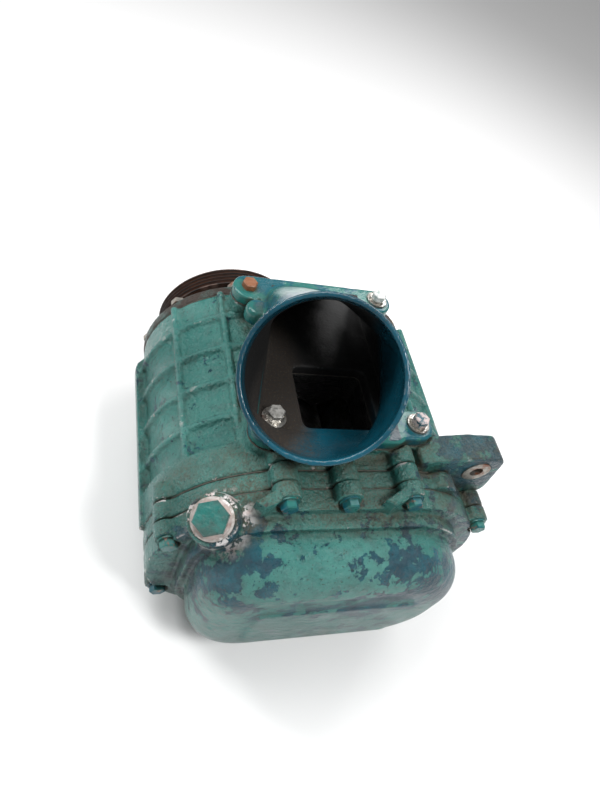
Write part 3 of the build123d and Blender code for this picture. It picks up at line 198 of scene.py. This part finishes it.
# ---- materials -------------------------------------------------------------------------------
def casting_paint(name, flaking, chips=0.5, soot_and_shade=0.0):
    """Thick brushed sea-green enamel over older teal, grimy and darkened with painted shade in the corners,
    and chipped on the edges.
    """
    n = Nodes(name)
    x, y, z = n.axes()
    colour = n.mix(n.ramp(n.noise(11, 4, 0.6), 0.38, 0.64), SEA_GREEN, PALE_GREEN)
    colour = n.mix(n.ramp(n.noise(75, 6, 0.7), 0.46, 0.70, 0.0, 0.55), colour, GREY_GREEN)
    # older teal paint shows in crisp-edged patches where the green has flaked, most to the right and in front
    broad = n.math("MULTIPLY", n.noise(15, 3, 0.5), 0.36)
    ragged = n.math("MULTIPLY", n.noise(92, 10, 0.64, 0.2), 0.64)
    patch = n.math("ADD", broad, ragged)
    patch = n.math("ADD", patch, n.ramp(x, -0.01, 0.11, 0.0, 0.030))
    patch = n.math("ADD", patch, n.math("MULTIPLY", n.near(EAR_PLACE, 0.020, 0.022), 0.14))
    front = n.math("MULTIPLY", n.ramp(z, 0.075, 0.12), n.ramp(y, -0.098, -0.122, 0.0, flaking))
    patch = n.math("ADD", patch, front)
    flake = n.ramp(patch, 0.580, 0.585)
    teal = n.mix(n.ramp(n.noise(55, 5, 0.7), 0.4, 0.65), OLD_TEAL, WORN_TEAL)
    colour = n.mix(flake, colour, teal)
    # the lower faces get darker and greyer towards the bottom, in noisy patches
    low = n.math("MULTIPLY", n.ramp(z, 0.105, 0.035), n.ramp(n.noise(40, 7, 0.7), 0.40, 0.62, 0.1, 0.75))
    colour = n.mix(low, colour, SLATE)
    # brown grime and painted shade in the corners and along the ribs' feet
    grime_and_shade = n.math("MULTIPLY", n.ramp(n.crevice(0.016), 0.16, 0.55), n.ramp(n.noise(95, 6, 0.75), 0.30, 0.58))
    colour = n.mix(n.math("MULTIPLY", grime_and_shade, 0.9), colour, GRIME_AND_SHADE)
    # dust lies on top, in front of the duct and on the cover's joint
    top_front = n.math("MULTIPLY", n.ramp(y, -0.128, -0.112), n.ramp(y, -0.052, -0.066))
    top_front = n.math("MULTIPLY", top_front, n.ramp(n.up(), 0.25, 0.75))
    top_front = n.math("MULTIPLY", top_front, n.ramp(n.noise(20, 4, 0.6), 0.34, 0.60, 0.35, 1.0))
    dust = n.math("MULTIPLY", top_front, n.ramp(n.noise(620, 4, 0.8), 0.36, 0.60, 0.15, 0.85))
    colour = n.mix(dust, colour, n.mix(n.noise(60, 4), GRIME_AND_SHADE, DUST))
    speck = n.ramp(n.noise(520, 3, 0.65), 0.62, 0.68, 0.0, 0.75)
    colour = n.mix(speck, colour, BLACK_DIRT)
    # chips to bare alloy along the sharp edges, and white corrosion round the filler boss
    sharp = n.ramp(n.pointiness(), 0.515, 0.56)
    chip = n.math("MULTIPLY", sharp, n.ramp(n.noise(52, 7, 0.72), 0.66 - 0.1 * chips, 0.675 - 0.1 * chips))
    salt = n.math("MULTIPLY", n.near(PLUG_PLACE, 0.019, 0.012), n.ramp(n.noise(85, 6, 0.7), 0.52, 0.55))
    chip = n.math("MAXIMUM", chip, salt)
    colour = n.mix(chip, colour, n.mix(n.ramp(n.noise(120, 4), 0.35, 0.6), BARE_ALLOY, WHITE_SALT))
    # painted shade blackens the port and the bores; the drive end is sooty from the belt
    port_shade = n.within(PORT_LOW, PORT_HIGH)
    sooty = n.math("MULTIPLY", n.ramp(n.noise(28, 6, 0.7), 0.30, 0.55), soot_and_shade)
    colour = n.mix(n.math("MAXIMUM", port_shade, sooty), colour, n.mix(port_shade, DARK_RUST, OIL_AND_SHADE_BLACK))
    rough = n.ramp(n.noise(70, 4), 0.3, 0.7, 0.10, 0.24)
    rough = n.math("ADD", rough, n.math("MULTIPLY", n.math("MAXIMUM", grime_and_shade, dust), 0.5), clamp=True)
    rough = n.math("MAXIMUM", rough, n.math("MULTIPLY", n.math("MAXIMUM", chip, sooty), 0.62))
    thick = n.bump(n.math("SUBTRACT", 1.0, flake), 0.00035)
    thick = n.bump(n.math("SUBTRACT", 1.0, chip), 0.0003, after=thick)
    brushed = n.bump(n.noise(95, 3, 0.5), 0.0034, 0.7, after=thick)
    pitted = n.bump(n.noise(300, 5, 0.65), 0.0024, 1.0, after=brushed)
    return n.finish(colour, rough, pitted)


def duct_paint():
    """Deep teal enamel outside; painted shade and black oil inside, with brown dust, teal only near the rim
    and on one wall.
    """
    n = Nodes("duct_paint")
    x, y, z = n.axes()
    colour = n.mix(n.ramp(n.noise(18, 4), 0.38, 0.66), DUCT_TEAL, DUCT_DEEP)
    # the flange and the foot outside are sea green like the casing
    inner = n.ramp(n.dot(n.normal(), n.from_place(DUCT_MIDDLE)), 0.003, -0.003)
    left_edge = n.math("SUBTRACT", n.math("SUBTRACT", x, n.math("MULTIPLY", y, FOOT_SLANT)), FOOT_EDGE)
    over_floor = n.math("MULTIPLY", n.ramp(left_edge, -0.0025, -0.0015), n.ramp(x, 0.036, 0.037, 1.0, 0.0))
    over_floor = n.math("MULTIPLY", over_floor, n.ramp(y, 0.068, 0.070, 1.0, 0.0))
    inner = n.math("MULTIPLY", inner, n.math("MAXIMUM", over_floor, n.ramp(z, 0.182, 0.184)))
    outer = n.math("SUBTRACT", 1.0, inner)
    foot = n.ramp(n.math("ADD", z, n.math("MULTIPLY", n.noise(30, 6), 0.018)), 0.194, 0.199, 0.9, 0.0)
    foot = n.math("MULTIPLY", foot, outer)
    green = n.mix(n.ramp(n.noise(60, 5, 0.7), 0.45, 0.65), SEA_GREEN, GREY_GREEN)
    rear = n.math("MULTIPLY", n.ramp(y, -0.020, 0.005), n.ramp(n.noise(26, 6, 0.7), 0.42, 0.52))
    rear = n.math("MULTIPLY", rear, outer)
    colour = n.mix(n.math("MAXIMUM", foot, rear), colour, green)
    flaked = n.math("MULTIPLY", foot, n.ramp(n.noise(60, 9, 0.6), 0.50, 0.51))
    colour = n.mix(flaked, colour, WORN_TEAL)
    # brown grime and painted shade in the corners
    grime_and_shade = n.math("MULTIPLY", n.ramp(n.crevice(0.016), 0.16, 0.55), n.ramp(n.noise(95, 6, 0.75), 0.30, 0.58))
    colour = n.mix(n.math("MULTIPLY", grime_and_shade, 0.85), colour, GRIME_AND_SHADE)
    # inside: painted shade and black oil, behind the rim and away from the wall that they spare
    from_mouth = n.from_place(MOUTH_CENTRE)
    depth = n.math("ADD", n.dot(from_mouth, MOUTH_AXIS), n.math("MULTIPLY", n.noise(45, 5), 0.006))
    behind_rim = n.ramp(depth, -0.009, -0.004, 1.0, 0.0)
    spared_wall = n.math("MULTIPLY", n.ramp(n.dot(from_mouth, SPARED_WALL), 0.000, 0.018),
                        n.ramp(depth, -0.075, -0.055))
    unspared = n.math("SUBTRACT", 1.0, n.math("MULTIPLY", spared_wall, 0.85))
    soot_and_shade = n.math("MULTIPLY", n.math("MULTIPLY", inner, behind_rim), unspared)
    colour = n.mix(soot_and_shade, colour, OIL_AND_SHADE_BLACK)
    floor = n.math("MULTIPLY", n.math("MULTIPLY", n.ramp(n.up(), 0.3, 0.8), n.ramp(z, 0.196, 0.186)), inner)
    dust = n.math("MULTIPLY", n.math("MULTIPLY", floor, n.ramp(x, -0.020, -0.036)),
                  n.ramp(n.noise(620, 5, 0.8), 0.40, 0.60, 0.3, 1.0))
    colour = n.mix(n.math("MULTIPLY", dust, 0.75), colour, SOOT_BROWN)
    crumbs = n.math("MULTIPLY", dust, n.ramp(n.noise(900, 3, 0.7), 0.60, 0.66))
    colour = n.mix(n.math("MULTIPLY", crumbs, 0.7), colour, DUST)
    speck = n.ramp(n.noise(760, 4, 0.7), 0.58, 0.66, 0.0, 0.6)
    colour = n.mix(n.math("MULTIPLY", speck, n.math("SUBTRACT", 1.0, soot_and_shade)), colour, GRIME_AND_SHADE)
    sharp = n.ramp(n.pointiness(), 0.52, 0.58)
    chip = n.math("MULTIPLY", sharp, n.ramp(n.noise(85, 7, 0.72), 0.62, 0.64))
    colour = n.mix(chip, colour, n.mix(n.noise(90, 2), BARE_ALLOY, (0.07, 0.24, 0.28)))
    rough = n.ramp(n.noise(60, 4), 0.3, 0.7, 0.14, 0.28)
    rough = n.math("MAXIMUM", rough, n.math("MULTIPLY", soot_and_shade, 0.66))
    rough = n.math("ADD", rough, n.math("MULTIPLY", n.math("MAXIMUM", dust, grime_and_shade), 0.5), clamp=True)
    thick = n.bump(n.math("SUBTRACT", 1.0, chip), 0.00025)
    brushed = n.bump(n.noise(105, 3, 0.5), 0.0011, 0.5, after=thick)
    peel = n.bump(n.noise(480, 4, 0.6), 0.0004, 0.6, after=brushed)
    return n.finish(colour, rough, peel)


def painted_screws(name, bare=0.25):
    """Plated screws with casing paint over most of them."""
    n = Nodes(name)
    paint = n.mix(n.ramp(n.noise(45, 3), 0.42, 0.58), SEA_GREEN, WORN_TEAL)
    # grime and painted shade darken the screws' crevices
    crevice = n.crevice(0.004)
    paint = n.mix(n.ramp(crevice, 0.25, 0.7, 0.0, 0.8), paint, GRIME_AND_SHADE)
    worn = n.ramp(n.noise(160, 6, 0.7), 0.62 - bare * 0.2, 0.66 - bare * 0.2)
    metal = n.mix(n.noise(300, 4), DULL_STEEL, RUST)
    colour = n.mix(worn, paint, metal)
    rough = n.ramp(n.noise(200, 4), 0.3, 0.7, 0.25, 0.5)
    normal = n.bump(n.noise(500, 4), 0.0004, 0.6, after=n.bump(worn, -0.0001))
    return n.finish(colour, rough, normal, n.math("MULTIPLY", worn, 0.4))


def painted_plug():
    """The filler plug: casing green on its head, rust where the head meets its washer."""
    n = Nodes("painted_plug")
    paint = n.mix(n.ramp(n.noise(60, 5, 0.7), 0.40, 0.62), SEA_GREEN, GREY_GREEN)
    height = n.dot(n.from_place(PLUG_PLACE), PLUG_AXIS)
    uneven = n.math("ADD", height, n.math("MULTIPLY", n.noise(120, 5, 0.7), 0.003))
    ring = n.ramp(uneven, 0.0046, 0.0058, 1.0, 0.0)
    colour = n.mix(ring, paint, n.mix(n.noise(260, 5), RUST, WHITE_SALT))
    rough = n.ramp(n.noise(200, 4), 0.3, 0.7, 0.18, 0.4)
    rough = n.math("MAXIMUM", rough, n.math("MULTIPLY", ring, 0.7))
    return n.finish(colour, rough, n.bump(n.noise(260, 5), 0.0008, 0.8))


def inlet_screws():
    """Four screws that have aged apart: grey inside the duct, rust at the rear left, pale on the right."""
    n = Nodes("inlet_screws")
    x, y = n.axes()[:2]
    right = n.ramp(x, -0.005, 0.005)
    rear = n.ramp(y, -0.005, 0.005)
    grain = n.noise(260, 6, 0.7)
    grey = n.mix(n.ramp(grain, 0.35, 0.7), STEEL, DULL_STEEL)
    rust = n.mix(n.ramp(grain, 0.3, 0.7), RUST, PALE_RUST)
    pale = n.mix(n.ramp(grain, 0.44, 0.56), BARE_ALLOY, WORN_TEAL)
    salt = n.mix(n.ramp(grain, 0.4, 0.65), WHITE_SALT, (0.30, 0.36, 0.34))
    colour = n.mix(right, n.mix(rear, grey, rust), n.mix(rear, pale, salt))
    metal = n.math("MULTIPLY", n.math("SUBTRACT", 1.0, right), n.math("SUBTRACT", 1.0, rear))
    normal = n.bump(grain, 0.0005, 0.7)
    rough = n.ramp(n.noise(300, 4), 0.3, 0.7, 0.35, 0.75)
    return n.finish(colour, rough, normal, n.math("MULTIPLY", metal, 0.9))


def metal(name, light, dark, rough_low, rough_high, scale=180.0, height=0.0001, metallic=1.0, spots=None,
          spot_edge=0.62):
    """Worked metal with grain and stains, or with rust spots."""
    n = Nodes(name)
    grain = n.noise(scale, 5, 0.65)
    colour = n.mix(n.ramp(grain, 0.3, 0.7), light, dark)
    shine = metallic
    if spots:
        spot = n.ramp(n.noise(scale * 0.3, 7, 0.7), spot_edge - 0.06, spot_edge + 0.02)
        colour = n.mix(spot, colour, spots)
        shine = n.ramp(spot, 0.0, 1.0, metallic, 0.0)
    rough = n.ramp(n.noise(scale * 2, 4), 0.3, 0.7, rough_low, rough_high)
    return n.finish(colour, rough, n.bump(grain, height), shine)


def rusty_pulley():
    """Dark brown-black iron with worn brown rust in rings, where the belt and the clutch rub."""
    n = Nodes("rusty_iron")
    grain = n.noise(90, 7, 0.7)
    colour = n.mix(n.ramp(grain, 0.35, 0.65), BLACK_DIRT, DARK_RUST)
    x, _, z = n.axes()
    across = n.math("POWER", n.math("ADD", x, -AXIS_X), 2.0)
    above = n.math("POWER", n.math("SUBTRACT", z, AXIS_HEIGHT), 2.0)
    radius = n.math("SQRT", n.math("ADD", across, above))
    waves = n.ramp(n.math("SINE", n.math("MULTIPLY", radius, RING_WAVES)), -0.1, 0.7)
    ring = n.math("MULTIPLY", waves, n.ramp(n.noise(34, 5, 0.6), 0.38, 0.60))
    colour = n.mix(n.math("MULTIPLY", ring, 0.8), colour, (0.085, 0.034, 0.018))
    worn = n.math("MULTIPLY", n.ramp(n.pointiness(), 0.54, 0.62), n.ramp(n.noise(80, 4), 0.4, 0.6))
    colour = n.mix(worn, colour, (0.16, 0.10, 0.08))
    rough = n.ramp(n.noise(140, 4), 0.3, 0.7, 0.4, 0.8)
    return n.finish(colour, rough, n.bump(grain, 0.0004, 0.7), 0.3)


def moulded(name, light, dark, rough, scale=300.0, height=0.0001):
    """Moulded, pressed or potted stuff with a fine grain."""
    n = Nodes(name)
    grain = n.noise(scale, 4, 0.6)
    colour = n.mix(n.ramp(grain, 0.3, 0.7), light, dark)
    roughness = n.ramp(n.noise(scale * 0.4, 3), 0.3, 0.7, rough - 0.12, rough + 0.12)
    return n.finish(colour, roughness, n.bump(grain, height))


looks = {
    "rotor_casing": casting_paint("casing_paint", 0.0, 0.6),
    "gear_end_plate": casting_paint("end_plate_paint", 0.02, 0.6),
    "gear_cover": casting_paint("cover_paint", 0.075, 0.7),
    "drive_end_plate": casting_paint("drive_plate_paint", 0.0, 0.2, 0.95),
    "inlet_duct": duct_paint(),
    "front_bolts": painted_screws("painted_screws"),
    "inlet_bolts": inlet_screws(),
    "clutch_pulley": rusty_pulley(),
}
ground_steel = metal("ground_steel", STEEL, DULL_STEEL, 0.22, 0.42)
bearing_steel = metal("bearing_steel", (0.55, 0.55, 0.56), (0.42, 0.42, 0.43), 0.08, 0.2, 400.0, 0.00002)
bare_alloy = metal("machined_alloy", (0.60, 0.60, 0.60), (0.40, 0.39, 0.37), 0.28, 0.48, 120.0, 0.00008)
plated = metal("plated_steel", (0.40, 0.37, 0.32), DULL_STEEL, 0.3, 0.55, 220.0, 0.00015, 0.9, RUST, 0.60)
washer_steel = metal("washer_steel", (0.50, 0.49, 0.46), (0.14, 0.12, 0.10), 0.25, 0.55, 240.0, 0.0002, 0.9,
                     DARK_RUST, 0.62)
paper = moulded("gasket_paper", (0.10, 0.09, 0.07), (0.05, 0.045, 0.04), 0.8)
rubber = moulded("seal_rubber", (0.022, 0.018, 0.017), (0.012, 0.010, 0.010), 0.55)
slot_looks = {
    "bare_aluminium": bare_alloy, "ground_steel": ground_steel, "bearing_steel": bearing_steel,
    "pressed_steel": metal("pressed_steel", (0.34, 0.33, 0.31), (0.22, 0.21, 0.20), 0.3, 0.5),
    "rusty_steel": looks["clutch_pulley"], "plated_steel": plated,
    "soft_washer": metal("soft_washer", (0.55, 0.52, 0.50), (0.30, 0.26, 0.23), 0.45, 0.75, 200.0, 0.0003,
                         0.5, WHITE_SALT),
    "seal_rubber": rubber, "gasket_paper": paper,
    "winding_resin": moulded("winding_resin", (0.16, 0.045, 0.015), (0.08, 0.02, 0.008), 0.35, 500.0, 0.0003),
    "black_plastic": moulded("black_plastic", (0.015, 0.015, 0.016), (0.008, 0.008, 0.009), 0.45),
}
looks["inlet_flat_washers"] = washer_steel
looks["inlet_spring_washers"] = metal("spring_washer", (0.72, 0.70, 0.66), (0.25, 0.23, 0.2), 0.15, 0.4)
looks["filler_plug"] = painted_plug()
node_slots = {entry["node"]: entry["material_slot"] for entry in frame["record"]["subparts"]}
for name, piece in nodes.items():
    material = looks.get(name) or slot_looks[node_slots[name]]
    piece.data.materials.clear()
    piece.data.materials.append(material)
    for polygon in piece.data.polygons:
        polygon.material_index = 0

# ---- cast forms: soft edges on the castings ----------------------------------------------------
cast_voxels = {"rotor_casing": 0.0014, "gear_end_plate": 0.0014, "gear_cover": 0.0010,
               "drive_end_plate": 0.0014, "inlet_duct": 0.0011}
for name, voxel in cast_voxels.items():
    remesh = nodes[name].modifiers.new("cast_skin", "REMESH")
    remesh.mode = "VOXEL"
    remesh.voxel_size = voxel
    remesh.use_smooth_shade = True
    smooth = nodes[name].modifiers.new("cast_edges", "SMOOTH")
    smooth.factor = 0.5
    smooth.iterations = 4

# ---- floor, light and camera -------------------------------------------------------------------
floor_mesh = bpy.data.meshes.new("floor")
floor_half = 4.0
floor_corners = [(-floor_half, -floor_half, 0), (floor_half, -floor_half, 0), (floor_half, floor_half, 0),
                 (-floor_half, floor_half, 0)]
floor_mesh.from_pydata(floor_corners, [], [(0, 1, 2, 3)])
floor = bpy.data.objects.new("floor", floor_mesh)
bpy.context.scene.collection.objects.link(floor)
floor_nodes = Nodes("floor_white")
floor_mesh.materials.append(floor_nodes.finish((0.86, 0.86, 0.86, 1.0), 0.9))

world = bpy.data.worlds.new("studio")
world.use_nodes = True
world.node_tree.nodes["Background"].inputs["Color"].default_value = (1.0, 1.0, 1.0, 1.0)
world.node_tree.nodes["Background"].inputs["Strength"].default_value = 0.34
bpy.context.scene.world = world


def softbox(name, place, aim, size, power):
    """A square area light that points at aim."""
    light = bpy.data.lights.new(name, "AREA")
    light.size = size
    light.energy = power
    lamp = bpy.data.objects.new(name, light)
    lamp.location = place
    lamp.rotation_euler = (Vector(aim) - Vector(place)).to_track_quat("-Z", "Y").to_euler()
    bpy.context.scene.collection.objects.link(lamp)


softbox("key", (0.25, -0.55, 1.1), (0, -0.03, 0.1), 0.26, 9)
softbox("overhead", (-0.5, 0.3, 1.3), (0, 0, 0.1), 0.7, 10)
softbox("left", (-0.75, 0.42, 0.75), (0, 0, 0.1), 0.18, 4)
softbox("rim", (0.6, 0.6, 0.9), (0, 0, 0.1), 0.5, 5)
bpy.context.scene.view_settings.view_transform = "Standard"

camera_data = bpy.data.cameras.new("camera")
camera_data.sensor_width = 36.0
camera_data.lens = 27.69
camera = bpy.data.objects.new("camera", camera_data)
# the camera's own right, up and backward axes, as columns, then its place
camera.matrix_world = Matrix(((0.93386716, -0.04608224, -0.35463861, -0.1739),
                              (-0.17152012, 0.81244811, -0.55723327, -0.2600),
                              (0.31380403, 0.58120951, 0.75081458, 0.4815),
                              (0, 0, 0, 1)))
bpy.context.scene.collection.objects.link(camera)
bpy.context.scene.camera = camera
